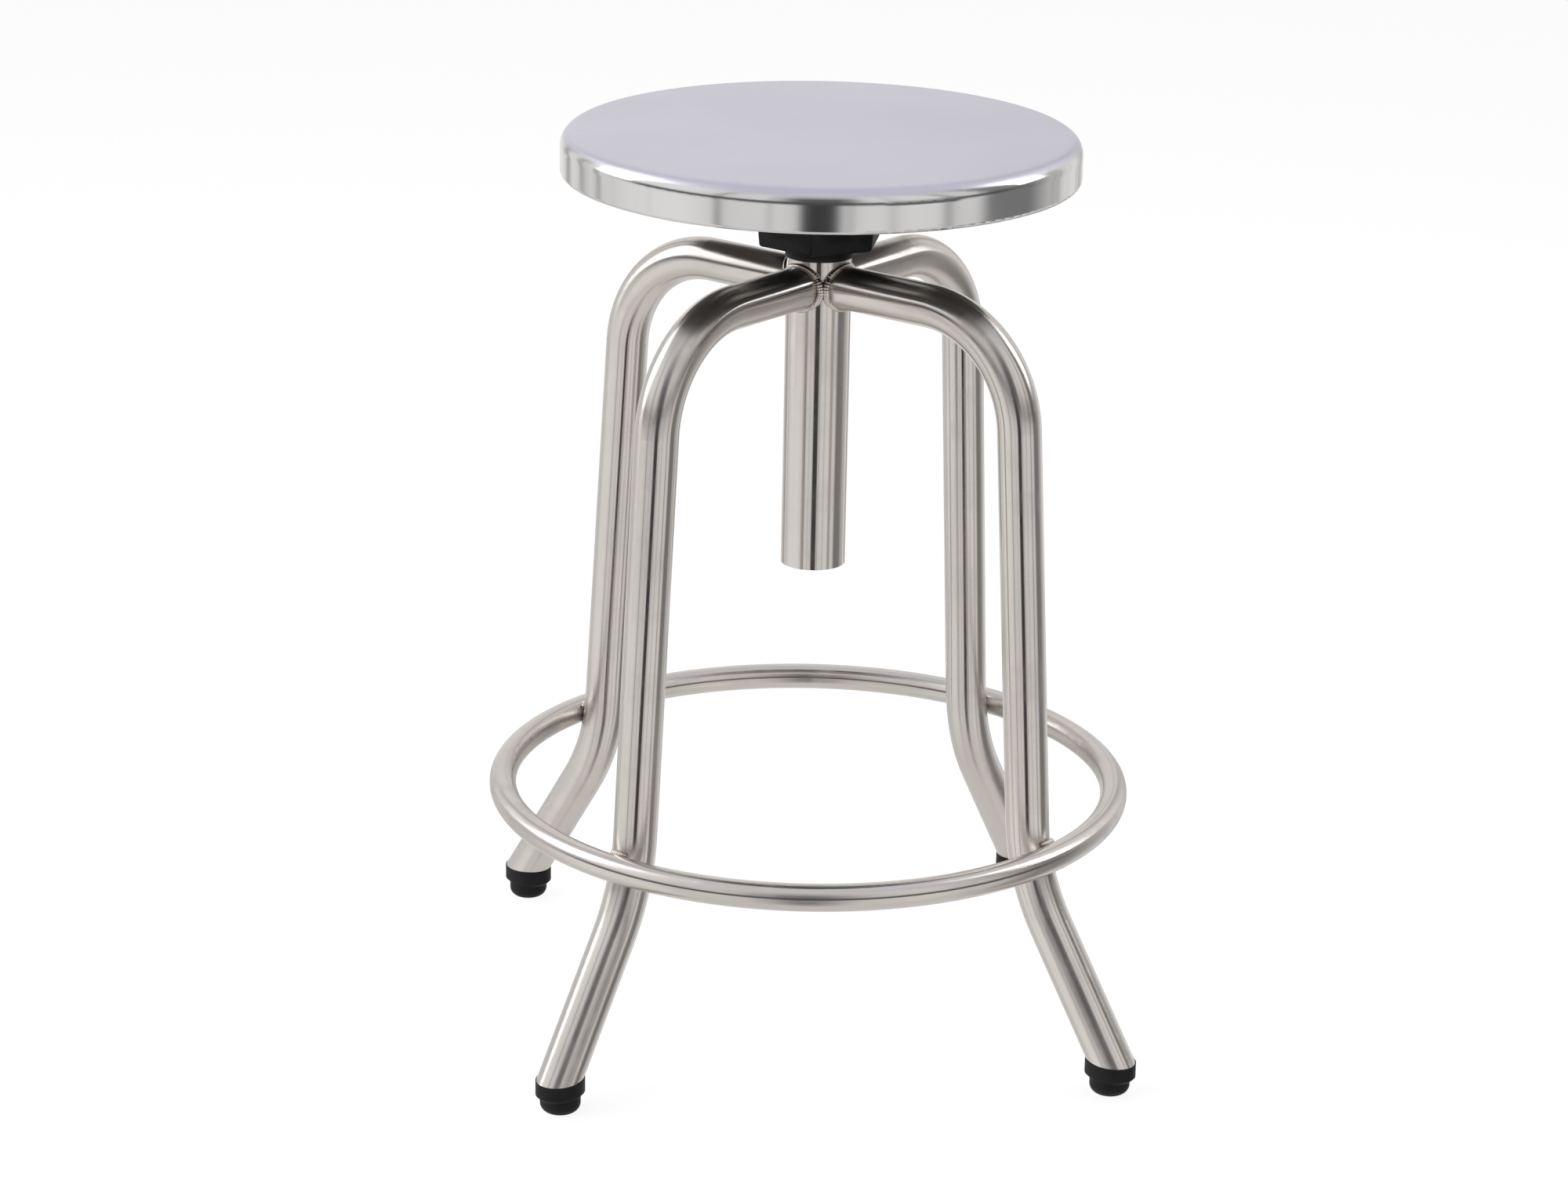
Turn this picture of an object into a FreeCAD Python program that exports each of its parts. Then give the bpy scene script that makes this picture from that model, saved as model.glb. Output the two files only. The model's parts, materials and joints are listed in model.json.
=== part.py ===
import FreeCAD, Part
import math
import os
import Sketcher

# A revolving machinist stool. A pressed steel seat stands on a screw spindle, which turns in a
# threaded column, and the column hangs between four bent tube legs tied by a welded foot ring.
# The origin is on the floor under the column's axis, Z is up and the front is toward minus Y.
# The seat is modelled at its lowest height, with the lock nut run down onto the column.

DOC = FreeCAD.newDocument("MachinistStool")
SHEET = DOC.addObject("Spreadsheet::Sheet", "Sizes")

# Driving dimensions in millimetres and degrees.
SIZES = (
    ("seatHeight", 535, "floor to the top of the seat at its lowest"),
    ("legTubeDiameter", 25.4, "outside of the leg tube"),
    ("legTubeWall", 1.2, "wall of the leg tube"),
    ("shoulderReach", 141, "radius at which the top run meets the upright"),
    ("shoulderBend", 66, "centre line radius of the upper bend"),
    ("legLean", 3.9, "outward lean of the upright, from vertical"),
    ("kneeHeight", 119, "height at which the upright meets the splayed shank"),
    ("kneeBend", 128, "centre line radius of the lower bend"),
    ("legSplay", 32.4, "outward splay of the shank, from vertical"),
    ("columnDiameter", 38.1, "outside of the column tube"),
    ("columnWall", 1.5, "wall of the column tube"),
    ("columnLength", 186, "length of the column tube"),
    ("columnStandUp", 3.3, "column above the top of the leg tubes"),
    ("columnNutLength", 40, "threaded bush in the column's upper end"),
    ("ringTubeDiameter", 15.9, "outside of the foot ring's tube"),
    ("ringTubeWall", 1.2, "wall of the foot ring's tube"),
    ("ringHeight", 137, "centre line of the foot ring"),
    ("footHeight", 20, "floor to the cut end of the leg tube"),
    ("footPadDiameter", 23.5, "part of the foot that meets the floor"),
    ("footPadHeight", 9.2, "foot below its collar"),
    ("footPadRound", 5.5, "rounding of the foot's lower edge"),
    ("footCollarLip", 0.5, "collar beyond the cut end of the tube, all round"),
    ("footCollarBevel", 2.4, "bevel under the collar"),
    ("footPlugLength", 22, "plug that holds the foot in the leg tube"),
    ("footPlugFit", 0.1, "radial gap round the plug"),
    ("seatDiameter", 300, "outside of the seat pan"),
    ("panDepth", 25, "top of the seat to its hem"),
    ("panSheet", 1.2, "sheet of the seat pan"),
    ("panRound", 9, "outer rounding of the seat's edge"),
    ("hemRound", 2.4, "outer rounding of the hem"),
    ("hemWidth", 9, "hem from the skirt's outside to its inner edge"),
    ("coreThickness", 15, "board inside the seat"),
    ("coreGap", 0.8, "radial gap between the board and the hem's edge"),
    ("flangeDiameter", 110, "steel flange under the board"),
    ("flangeThickness", 4, "plate of the flange"),
    ("hubDiameter", 34, "hub under the flange"),
    ("hubLength", 12, "hub below the flange"),
    ("flangeScrewCircle", 86, "circle of the flange screws"),
    ("flangeScrewDiameter", 5, "shank of a flange screw"),
    ("flangeScrewDepth", 11, "shank inside the board"),
    ("flangeScrewHead", 9.5, "head of a flange screw"),
    ("flangeScrewHeadHeight", 3, "height of that head"),
    ("flangeScrewCount", 4, "flange screws"),
    ("spindleDiameter", 22, "over the spindle's thread"),
    ("journalDiameter", 14, "turned end of the spindle, inside the guide bush"),
    ("spindleRise", 14, "column's lower end to the end of the spindle at rest"),
    ("guideLength", 14, "nylon bush that keeps the spindle's end central"),
    ("endWasherDiameter", 27, "washer that holds the guide bush on"),
    ("endWasherThickness", 2, "its thickness"),
    ("endScrewDiameter", 8, "screw in the spindle's end"),
    ("endScrewLength", 18, "its shank"),
    ("endScrewHead", 13, "its head, across flats"),
    ("endScrewHeadHeight", 5.3, "height of that head"),
    ("lockNutAcrossFlats", 65, "moulded lock nut at the lower edge of its hexagon"),
    ("lockNutHeight", 20, "its hexagon"),
    ("lockNutDraft", 5, "outward draft of its sides"),
    ("lockNutEdge", 2, "rounding of its corners and rims"),
    ("lockNutBossDiameter", 39.6, "round boss below the hexagon"),
    ("lockNutBossHeight", 5.4, "its height"),
    ("lockNutTurn", 15.2, "turn of the hexagon at rest"),
    ("insertDiameter", 30, "threaded steel insert in the lock nut"),
    ("lockNutRoom", 13.2, "hub above the lock nut, which the nut needs to unscrew"),
    ("washerDiameter", 39.6, "thrust washer under the lock nut"),
    ("washerThickness", 2, "its thickness"),
    ("washerBoreGap", 1, "radial gap between washer and spindle"),
    ("threadGap", 0.1, "radial gap between the spindle and a nut"),
    ("journalGap", 0.1, "radial gap between journal and guide bush"),
    ("guideGap", 0.3, "radial gap between guide bush and column"),
    ("hubWeld", 3, "weld between flange and hub"),
    ("edgeBevel", 1, "bevel where a turned piece is led in"),
    ("pressGap", 0.05, "radial gap of a pressed or screwed-in piece"),
    ("thrustGap", 0.1, "axial gap between pieces that turn on each other"),
)


def fill_sheet():
    for row, (name, value, note) in enumerate(SIZES, start=1):
        SHEET.set("A%d" % row, name)
        SHEET.set("B%d" % row, str(value))
        SHEET.setAlias("B%d" % row, name)
        SHEET.set("C%d" % row, note)
    DOC.recompute()


# Places and sizes that several sub-parts share, as formulas over the sheet. Heights are stacked
# down from the seat, through the lock nut and the column's top, to the legs' level top run.
CORE_TOP = "(Sizes.seatHeight - Sizes.panSheet)"
FLANGE_TOP = f"({CORE_TOP} - Sizes.coreThickness)"
FLANGE_FOOT = f"({FLANGE_TOP} - Sizes.flangeThickness)"
HUB_FOOT = f"({FLANGE_FOOT} - Sizes.hubLength)"
HEXAGON_FOOT = f"({HUB_FOOT} - Sizes.lockNutRoom - Sizes.lockNutHeight)"
LOCK_NUT_FOOT = f"({HEXAGON_FOOT} - Sizes.lockNutBossHeight)"
WASHER_FOOT = f"({LOCK_NUT_FOOT} - Sizes.thrustGap - Sizes.washerThickness)"
COLUMN_TOP = f"({WASHER_FOOT} - Sizes.thrustGap)"
COLUMN_FOOT = f"({COLUMN_TOP} - Sizes.columnLength)"
JOIN_HEIGHT = f"({COLUMN_TOP} - Sizes.columnStandUp - Sizes.legTubeDiameter / 2)"
LEAN = "tan(Sizes.legLean * 1deg)"
SPLAY = "tan(Sizes.legSplay * 1deg)"
KNEE_REACH = f"(Sizes.shoulderReach + ({JOIN_HEIGHT} - Sizes.kneeHeight) * {LEAN})"
FOOT_REACH = f"({KNEE_REACH} + (Sizes.kneeHeight - Sizes.footHeight) * {SPLAY})"
LEG_BORE = "(Sizes.legTubeDiameter - 2 * Sizes.legTubeWall)"
COLUMN_BORE = "(Sizes.columnDiameter - 2 * Sizes.columnWall)"
NUT_BORE = "(Sizes.spindleDiameter + 2 * Sizes.threadGap)"
SPINDLE_FOOT = f"({COLUMN_FOOT} + Sizes.spindleRise)"
GUIDE_FOOT = f"({SPINDLE_FOOT} + Sizes.thrustGap)"
JOURNAL_TOP = f"({GUIDE_FOOT} + Sizes.guideLength + Sizes.thrustGap)"
WASHER_UNDERSIDE = f"({SPINDLE_FOOT} - Sizes.endWasherThickness)"
SCREW_HOLE = "(Sizes.flangeScrewDiameter + 2 * Sizes.pressGap)"

# The foot ring rests against the outside of the legs. Beside the lower bend it touches the hollow
# of the bend, whose centre is outside the leg, and above the bend it touches the straight upright.
BEND_RUN = "(Sizes.kneeBend * tan((Sizes.legSplay - Sizes.legLean) * 0.5deg))"
BEND_REACH = (
    f"({KNEE_REACH} - {BEND_RUN} * sin(Sizes.legLean * 1deg)"
    " + Sizes.kneeBend * cos(Sizes.legLean * 1deg))"
)
BEND_HEIGHT = (
    f"(Sizes.kneeHeight + {BEND_RUN} * cos(Sizes.legLean * 1deg)"
    " + Sizes.kneeBend * sin(Sizes.legLean * 1deg))"
)
BEND_TOP = f"(Sizes.kneeHeight + {BEND_RUN} * cos(Sizes.legLean * 1deg))"
TUBES = "((Sizes.legTubeDiameter + Sizes.ringTubeDiameter) / 2)"
RING_BESIDE_BEND = (
    f"{BEND_REACH} - sqrt((Sizes.kneeBend - {TUBES})^2 - (Sizes.ringHeight - {BEND_HEIGHT})^2)"
)
RING_BESIDE_UPRIGHT = (
    f"Sizes.shoulderReach + ({JOIN_HEIGHT} - Sizes.ringHeight) * {LEAN}"
    f" + {TUBES} / cos(Sizes.legLean * 1deg)"
)
RING_REACH = f"(Sizes.ringHeight < {BEND_TOP} ? {RING_BESIDE_BEND} : {RING_BESIDE_UPRIGHT})"

# Two edges closer than this, in millimetres, are the same edge.
SAME = 0.001

CORNERS = (
    ("rear_right", 45),
    ("rear_left", 135),
    ("front_left", 225),
    ("front_right", 315),
)


def number(formula):
    value = SHEET.evalExpression(formula)
    return float(getattr(value, "Value", value))


def new_body(label):
    body = DOC.addObject("PartDesign::Body", label)
    body.Label = label
    return body


def new_sketch(body, name, role, height=None):
    sketch = body.newObject("Sketcher::SketchObject", name)
    plane = next(item for item in body.Origin.OriginFeatures if item.Role == role)
    sketch.AttachmentSupport = (plane, [""])
    sketch.MapMode = "FlatFace"
    if height:
        sketch.setExpression("AttachmentOffset.Base.z", height)
    return sketch


def fix_point(sketch, edge, end, across, up):
    for kind, formula, axis in (("DistanceX", across, -2), ("DistanceY", up, -1)):
        if formula == "0":
            sketch.addConstraint(Sketcher.Constraint("PointOnObject", edge, end, axis))
        else:
            distance = Sketcher.Constraint(kind, -1, 1, edge, end, number(formula))
            index = sketch.addConstraint(distance)
            sketch.setExpression("Constraints[%d]" % index, formula)


def draw_circle(sketch, diameter, across="0", up="0"):
    centre = FreeCAD.Vector(number(across), number(up), 0)
    circle = Part.Circle(centre, FreeCAD.Vector(0, 0, 1), number(diameter) / 2)
    edge = sketch.addGeometry(circle, False)
    fix_point(sketch, edge, 3, across, up)
    index = sketch.addConstraint(Sketcher.Constraint("Diameter", edge, number(diameter)))
    sketch.setExpression("Constraints[%d]" % index, diameter)


def draw_outline(sketch, corners):
    points = [FreeCAD.Vector(number(across), number(up), 0) for across, up in corners]
    count = len(points)
    for k in range(count):
        sketch.addGeometry(Part.LineSegment(points[k], points[(k + 1) % count]), False)
    for k in range(count):
        sketch.addConstraint(Sketcher.Constraint("Coincident", k, 2, (k + 1) % count, 1))
    for k, (across, up) in enumerate(corners):
        fix_point(sketch, k, 1, across, up)


def draw_ellipse(sketch, length, width):
    """An ellipse about the origin, its length along the sketch's horizontal axis."""
    ellipse = Part.Ellipse(FreeCAD.Vector(0, 0, 0), number(length) / 2, number(width) / 2)
    edge = sketch.addGeometry(ellipse, False)
    sketch.exposeInternalGeometry(edge)
    sketch.addConstraint(Sketcher.Constraint("Coincident", edge, 3, -1, 1))
    sketch.addConstraint(Sketcher.Constraint("Horizontal", edge + 1))
    for axis, size in ((edge + 1, length), (edge + 2, width)):
        index = sketch.addConstraint(Sketcher.Constraint("Distance", axis, number(size)))
        sketch.setExpression("Constraints[%d]" % index, size)


def draw_hexagon(sketch, across_flats):
    radius = f"{across_flats} / 2 / cos(30deg)"
    circle = Part.Circle(FreeCAD.Vector(0, 0, 0), FreeCAD.Vector(0, 0, 1), number(radius))
    guide = sketch.addGeometry(circle, True)
    sketch.addConstraint(Sketcher.Constraint("Coincident", guide, 3, -1, 1))
    index = sketch.addConstraint(Sketcher.Constraint("Radius", guide, number(radius)))
    sketch.setExpression("Constraints[%d]" % index, radius)
    turn = FreeCAD.Rotation(FreeCAD.Vector(0, 0, 1), 60)
    corner = FreeCAD.Vector(number(radius), 0, 0)
    sides = []
    for k in range(6):
        following = turn.multVec(corner)
        sides.append(sketch.addGeometry(Part.LineSegment(corner, following), False))
        corner = following
    for k in range(6):
        sketch.addConstraint(Sketcher.Constraint("Coincident", sides[k], 2, sides[(k + 1) % 6], 1))
        sketch.addConstraint(Sketcher.Constraint("PointOnObject", sides[k], 1, guide))
    for k in range(5):
        sketch.addConstraint(Sketcher.Constraint("Equal", sides[k], sides[k + 1]))
    sketch.addConstraint(Sketcher.Constraint("PointOnObject", sides[0], 1, -1))


def draw_bent_line(sketch, corners, bends):
    """Straight runs between the corners, joined by a tangent arc of the given radius at each."""
    points = [FreeCAD.Vector(number(across), number(up), 0) for across, up in corners]
    runs = []
    arcs = []
    start = points[0]
    for k, bend in enumerate(bends, start=1):
        back = (points[k - 1] - points[k]).normalize()
        ahead = (points[k + 1] - points[k]).normalize()
        half = back.getAngle(ahead) / 2
        radius = number(bend)
        middle = (back + ahead).normalize()
        centre = points[k] + middle * (radius / math.sin(half))
        arrive = points[k] + back * (radius / math.tan(half))
        leave = points[k] + ahead * (radius / math.tan(half))
        runs.append(sketch.addGeometry(Part.LineSegment(start, arrive), False))
        turns_left = (-back).cross(ahead).z > 0
        first, last = (arrive, leave) if turns_left else (leave, arrive)
        angles = [math.atan2(spot.y - centre.y, spot.x - centre.x) for spot in (first, last)]
        circle = Part.Circle(centre, FreeCAD.Vector(0, 0, 1), radius)
        edge = sketch.addGeometry(Part.ArcOfCircle(circle, angles[0], angles[1]), False)
        arcs.append((edge, 1 if turns_left else 2, 2 if turns_left else 1))
        start = leave
    runs.append(sketch.addGeometry(Part.LineSegment(start, points[-1]), False))
    for k, (edge, arrival, departure) in enumerate(arcs):
        sketch.addConstraint(Sketcher.Constraint("Tangent", runs[k], 2, edge, arrival))
        sketch.addConstraint(Sketcher.Constraint("Tangent", edge, departure, runs[k + 1], 1))
        index = sketch.addConstraint(Sketcher.Constraint("Radius", edge, number(bends[k])))
        sketch.setExpression("Constraints[%d]" % index, bends[k])
        corner = sketch.addGeometry(Part.Point(points[k + 1]), True)
        sketch.addConstraint(Sketcher.Constraint("PointOnObject", corner, 1, runs[k]))
        sketch.addConstraint(Sketcher.Constraint("PointOnObject", corner, 1, runs[k + 1]))
        fix_point(sketch, corner, 1, *corners[k + 1])
    fix_point(sketch, runs[0], 1, *corners[0])
    fix_point(sketch, runs[-1], 2, *corners[-1])


def pad(body, sketch, name, length, downward=False):
    feature = body.newObject("PartDesign::Pad", name)
    feature.Profile = sketch
    feature.setExpression("Length", length)
    feature.Reversed = downward
    DOC.recompute()
    return feature


def pocket(body, sketch, name, depth=None, upward=False, both_ways=False):
    feature = body.newObject("PartDesign::Pocket", name)
    feature.Profile = sketch
    if depth:
        feature.setExpression("Length", depth)
    else:
        feature.Type = "ThroughAll"
    if both_ways:
        feature.SideType = "Symmetric"
    feature.Reversed = upward
    DOC.recompute()
    return feature


def revolve(body, sketch, name):
    feature = body.newObject("PartDesign::Revolution", name)
    feature.Profile = sketch
    feature.ReferenceAxis = (sketch, ["V_Axis"])
    feature.Angle = 360
    DOC.recompute()
    return feature


def repeat_round(body, features, sketch, name, count):
    pattern = body.newObject("PartDesign::PolarPattern", name)
    pattern.Originals = features
    pattern.Axis = (sketch, ["N_Axis"])
    pattern.Angle = 360
    pattern.setExpression("Occurrences", count)
    body.Tip = pattern
    DOC.recompute()
    return pattern


def find_rims(feature, rims):
    """Names of the circular edges with these diameters and heights."""
    names = []
    for diameter, height in rims:
        radius = number(diameter) / 2
        level = number(height)
        for index, edge in enumerate(feature.Shape.Edges, start=1):
            curve = edge.Curve
            if not isinstance(curve, Part.Circle) or abs(curve.Radius - radius) > SAME:
                continue
            if abs(curve.Center.z - level) < SAME and abs(abs(curve.Axis.z) - 1) < SAME:
                names.append("Edge%d" % index)
    return names


def find_level_edges(feature, height):
    """Names of the edges that lie at this height, whatever their curve."""
    level = number(height)
    names = []
    for index, edge in enumerate(feature.Shape.Edges, start=1):
        box = edge.BoundBox
        if abs(box.ZMin - level) < SAME and abs(box.ZMax - level) < SAME:
            names.append("Edge%d" % index)
    return names


def round_rims(body, feature, name, radius, rims):
    fillet = body.newObject("PartDesign::Fillet", name)
    fillet.Base = (feature, find_rims(feature, rims))
    fillet.setExpression("Radius", radius)
    DOC.recompute()
    return fillet


def bevel_rims(body, feature, name, size, rims):
    chamfer = body.newObject("PartDesign::Chamfer", name)
    chamfer.Base = (feature, find_rims(feature, rims))
    chamfer.setExpression("Size", size)
    DOC.recompute()
    return chamfer


def make_sleeve(label, outside, bore, foot, length):
    """A plain tube or ring about the column's axis."""
    body = new_body(label)
    section = new_sketch(body, "Section", "XY_Plane", foot)
    draw_circle(section, outside)
    draw_circle(section, bore)
    return body, pad(body, section, "Sleeve", length)


def make_column():
    make_sleeve("column_tube", "Sizes.columnDiameter", COLUMN_BORE, COLUMN_FOOT, "Sizes.columnLength")
    outside = f"({COLUMN_BORE} - 2 * Sizes.pressGap)"
    foot = f"({COLUMN_TOP} - Sizes.columnNutLength)"
    body, sleeve = make_sleeve("column_nut", outside, NUT_BORE, foot, "Sizes.columnNutLength")
    bevel_rims(body, sleeve, "LeadIn", "Sizes.edgeBevel", [(NUT_BORE, foot), (outside, foot)])


def make_leg(label, azimuth):
    body = new_body(label)
    line = new_sketch(body, "CentreLine", "XZ_Plane")
    overrun = "Sizes.legTubeDiameter"
    corners = (
        ("0", JOIN_HEIGHT),
        ("Sizes.shoulderReach", JOIN_HEIGHT),
        (KNEE_REACH, "Sizes.kneeHeight"),
        (f"{FOOT_REACH} + {overrun} * {SPLAY}", f"Sizes.footHeight - {overrun}"),
    )
    draw_bent_line(line, corners, ("Sizes.shoulderBend", "Sizes.kneeBend"))
    section = new_sketch(body, "TubeSection", "YZ_Plane")
    draw_circle(section, "Sizes.legTubeDiameter", "0", JOIN_HEIGHT)
    draw_circle(section, LEG_BORE, "0", JOIN_HEIGHT)
    DOC.recompute()
    tube = body.newObject("PartDesign::AdditivePipe", "BentTube")
    tube.Profile = section
    tube.Spine = (line, [])
    DOC.recompute()

    # Neighbouring tubes are mitred where they would meet, and saddled onto the column.
    mitre = new_sketch(body, "MitreCut", "XY_Plane")
    side = "Sizes.columnDiameter"
    draw_outline(mitre, (
        ("0", "0"),
        (side, side),
        (f"-{side}", side),
        (f"-{side}", f"-{side}"),
        (side, f"-{side}"),
    ))
    pocket(body, mitre, "Mitre", both_ways=True)
    saddle = new_sketch(body, "SaddleCut", "XY_Plane")
    draw_circle(saddle, "Sizes.columnDiameter")
    pocket(body, saddle, "Saddle", both_ways=True)
    end = new_sketch(body, "EndCut", "XY_Plane", "Sizes.footHeight")
    draw_circle(end, "Sizes.legTubeDiameter * 4", FOOT_REACH)
    pocket(body, end, "LevelEnd")
    body.Placement.Rotation = FreeCAD.Rotation(FreeCAD.Vector(0, 0, 1), azimuth)


def make_foot(label, azimuth):
    body = new_body(label)
    # The tube is cut level, so its end is an ellipse, and the collar is one too, a lip wider.
    collar = new_sketch(body, "CollarOutline", "XY_Plane", "Sizes.footPadHeight")
    draw_ellipse(
        collar,
        "Sizes.legTubeDiameter / cos(Sizes.legSplay * 1deg) + 2 * Sizes.footCollarLip",
        "Sizes.legTubeDiameter + 2 * Sizes.footCollarLip",
    )
    raised = pad(body, collar, "Collar", "Sizes.footHeight - Sizes.footPadHeight")
    bevel = body.newObject("PartDesign::Chamfer", "CollarBevel")
    bevel.Base = (raised, find_level_edges(raised, "Sizes.footPadHeight"))
    bevel.setExpression("Size", "Sizes.footCollarBevel")
    DOC.recompute()
    outline = new_sketch(body, "PadOutline", "XY_Plane")
    draw_circle(outline, "Sizes.footPadDiameter")
    foot = pad(body, outline, "FloorPad", "Sizes.footHeight")
    round_rims(body, foot, "LowerEdge", "Sizes.footPadRound", [("Sizes.footPadDiameter", "0")])

    # The plug leans with the tube. It starts inside the collar, deep enough to be covered by it.
    plug = f"({LEG_BORE} - 2 * Sizes.footPlugFit)"
    root = f"({plug} / 2 * {SPLAY})"
    section = new_sketch(body, "PlugSection", "XY_Plane")
    section.AttachmentOffset.Rotation = FreeCAD.Rotation(FreeCAD.Vector(0, 1, 0), -1)
    section.setExpression("AttachmentOffset.Rotation.Angle", "-Sizes.legSplay")
    section.setExpression("AttachmentOffset.Base.x", f"{root} * sin(Sizes.legSplay * 1deg)")
    section.setExpression(
        "AttachmentOffset.Base.z", f"Sizes.footHeight - {root} * cos(Sizes.legSplay * 1deg)"
    )
    draw_circle(section, plug)
    pad(body, section, "Plug", f"{root} + Sizes.footPlugLength")
    body.Placement.Rotation = FreeCAD.Rotation(FreeCAD.Vector(0, 0, 1), azimuth)
    body.setExpression("Placement.Base.x", f"{FOOT_REACH} * cos({azimuth}deg)")
    body.setExpression("Placement.Base.y", f"{FOOT_REACH} * sin({azimuth}deg)")


def make_foot_ring():
    body = new_body("foot_ring")
    section = new_sketch(body, "RingSection", "XZ_Plane")
    draw_circle(section, "Sizes.ringTubeDiameter", RING_REACH, "Sizes.ringHeight")
    bore = "(Sizes.ringTubeDiameter - 2 * Sizes.ringTubeWall)"
    draw_circle(section, bore, RING_REACH, "Sizes.ringHeight")
    revolve(body, section, "Ring")


def make_seat_pan():
    body = new_body("seat_pan")
    rim = "(Sizes.seatDiameter / 2)"
    hem = "(Sizes.seatHeight - Sizes.panDepth)"
    inner_rim = f"({rim} - Sizes.panSheet)"
    inner_hem = f"({hem} + Sizes.panSheet)"
    mouth = f"({rim} - Sizes.hemWidth)"
    profile = new_sketch(body, "PanProfile", "XZ_Plane")
    draw_outline(profile, (
        ("0", "Sizes.seatHeight"),
        (rim, "Sizes.seatHeight"),
        (rim, hem),
        (mouth, hem),
        (mouth, inner_hem),
        (inner_rim, inner_hem),
        (inner_rim, CORE_TOP),
        ("0", CORE_TOP),
    ))
    pan = revolve(body, profile, "Pan")
    outside = "Sizes.seatDiameter"
    inside = f"(2 * {inner_rim})"
    pan = round_rims(body, pan, "EdgeOutside", "Sizes.panRound", [(outside, "Sizes.seatHeight")])
    pan = round_rims(body, pan, "EdgeInside", "Sizes.panRound - Sizes.panSheet", [(inside, CORE_TOP)])
    pan = round_rims(body, pan, "HemOutside", "Sizes.hemRound", [(outside, hem)])
    round_rims(body, pan, "HemInside", "Sizes.hemRound - Sizes.panSheet", [(inside, inner_hem)])


def draw_screw_hole(body, name, height, diameter):
    sketch = new_sketch(body, name, "XY_Plane", height)
    across = "Sizes.flangeScrewCircle / 2 * cos(45deg)"
    draw_circle(sketch, diameter, across, across)
    return sketch


def make_seat_core():
    body = new_body("seat_core")
    outside = "(Sizes.seatDiameter - 2 * (Sizes.hemWidth + Sizes.coreGap))"
    section = new_sketch(body, "BoardOutline", "XY_Plane", FLANGE_TOP)
    draw_circle(section, outside)
    board = pad(body, section, "Board", "Sizes.coreThickness")
    round_rims(body, board, "UpperEdge", "Sizes.panRound - Sizes.panSheet", [(outside, CORE_TOP)])
    hole = draw_screw_hole(body, "PilotHole", FLANGE_TOP, SCREW_HOLE)
    drilled = pocket(body, hole, "Pilot", "Sizes.flangeScrewDepth + Sizes.edgeBevel", upward=True)
    repeat_round(body, [drilled], hole, "Pilots", "Sizes.flangeScrewCount")


def make_seat_flange():
    body = new_body("seat_flange")
    plate = new_sketch(body, "PlateOutline", "XY_Plane", FLANGE_FOOT)
    draw_circle(plate, "Sizes.flangeDiameter")
    pad(body, plate, "Plate", "Sizes.flangeThickness")
    hub = new_sketch(body, "HubOutline", "XY_Plane", FLANGE_FOOT)
    draw_circle(hub, "Sizes.hubDiameter")
    raised = pad(body, hub, "Hub", "Sizes.hubLength", downward=True)
    round_rims(body, raised, "HubWeld", "Sizes.hubWeld", [("Sizes.hubDiameter", FLANGE_FOOT)])
    bore = new_sketch(body, "BoreOutline", "XY_Plane", FLANGE_TOP)
    draw_circle(bore, "Sizes.spindleDiameter + 2 * Sizes.pressGap")
    pocket(body, bore, "Bore")
    hole = draw_screw_hole(body, "ScrewHole", FLANGE_TOP, SCREW_HOLE)
    drilled = pocket(body, hole, "Hole")
    repeat_round(body, [drilled], hole, "Holes", "Sizes.flangeScrewCount")


def make_flange_screws():
    body = new_body("flange_screws")
    body.AllowCompound = True
    shank = draw_screw_hole(body, "ShankOutline", FLANGE_FOOT, "Sizes.flangeScrewDiameter")
    shank_pad = pad(body, shank, "Shank", "Sizes.flangeThickness + Sizes.flangeScrewDepth")
    head = draw_screw_hole(body, "HeadOutline", FLANGE_FOOT, "Sizes.flangeScrewHead")
    head_pad = pad(body, head, "Head", "Sizes.flangeScrewHeadHeight", downward=True)
    repeat_round(body, [shank_pad, head_pad], shank, "Screws", "Sizes.flangeScrewCount")


def make_spindle():
    body = new_body("spindle")
    thread = "Sizes.spindleDiameter / 2"
    journal = "Sizes.journalDiameter / 2"
    profile = new_sketch(body, "SpindleProfile", "XZ_Plane")
    draw_outline(profile, (
        ("0", SPINDLE_FOOT),
        (journal, SPINDLE_FOOT),
        (journal, JOURNAL_TOP),
        (thread, JOURNAL_TOP),
        (thread, FLANGE_TOP),
        ("0", FLANGE_TOP),
    ))
    turned = revolve(body, profile, "Turned")
    bevel_rims(body, turned, "ThreadStart", "Sizes.edgeBevel", [("Sizes.spindleDiameter", JOURNAL_TOP)])
    hole = new_sketch(body, "EndHole", "XY_Plane", SPINDLE_FOOT)
    draw_circle(hole, "Sizes.endScrewDiameter + 2 * Sizes.pressGap")
    pocket(body, hole, "Tapped", "Sizes.endScrewLength", upward=True)


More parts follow.
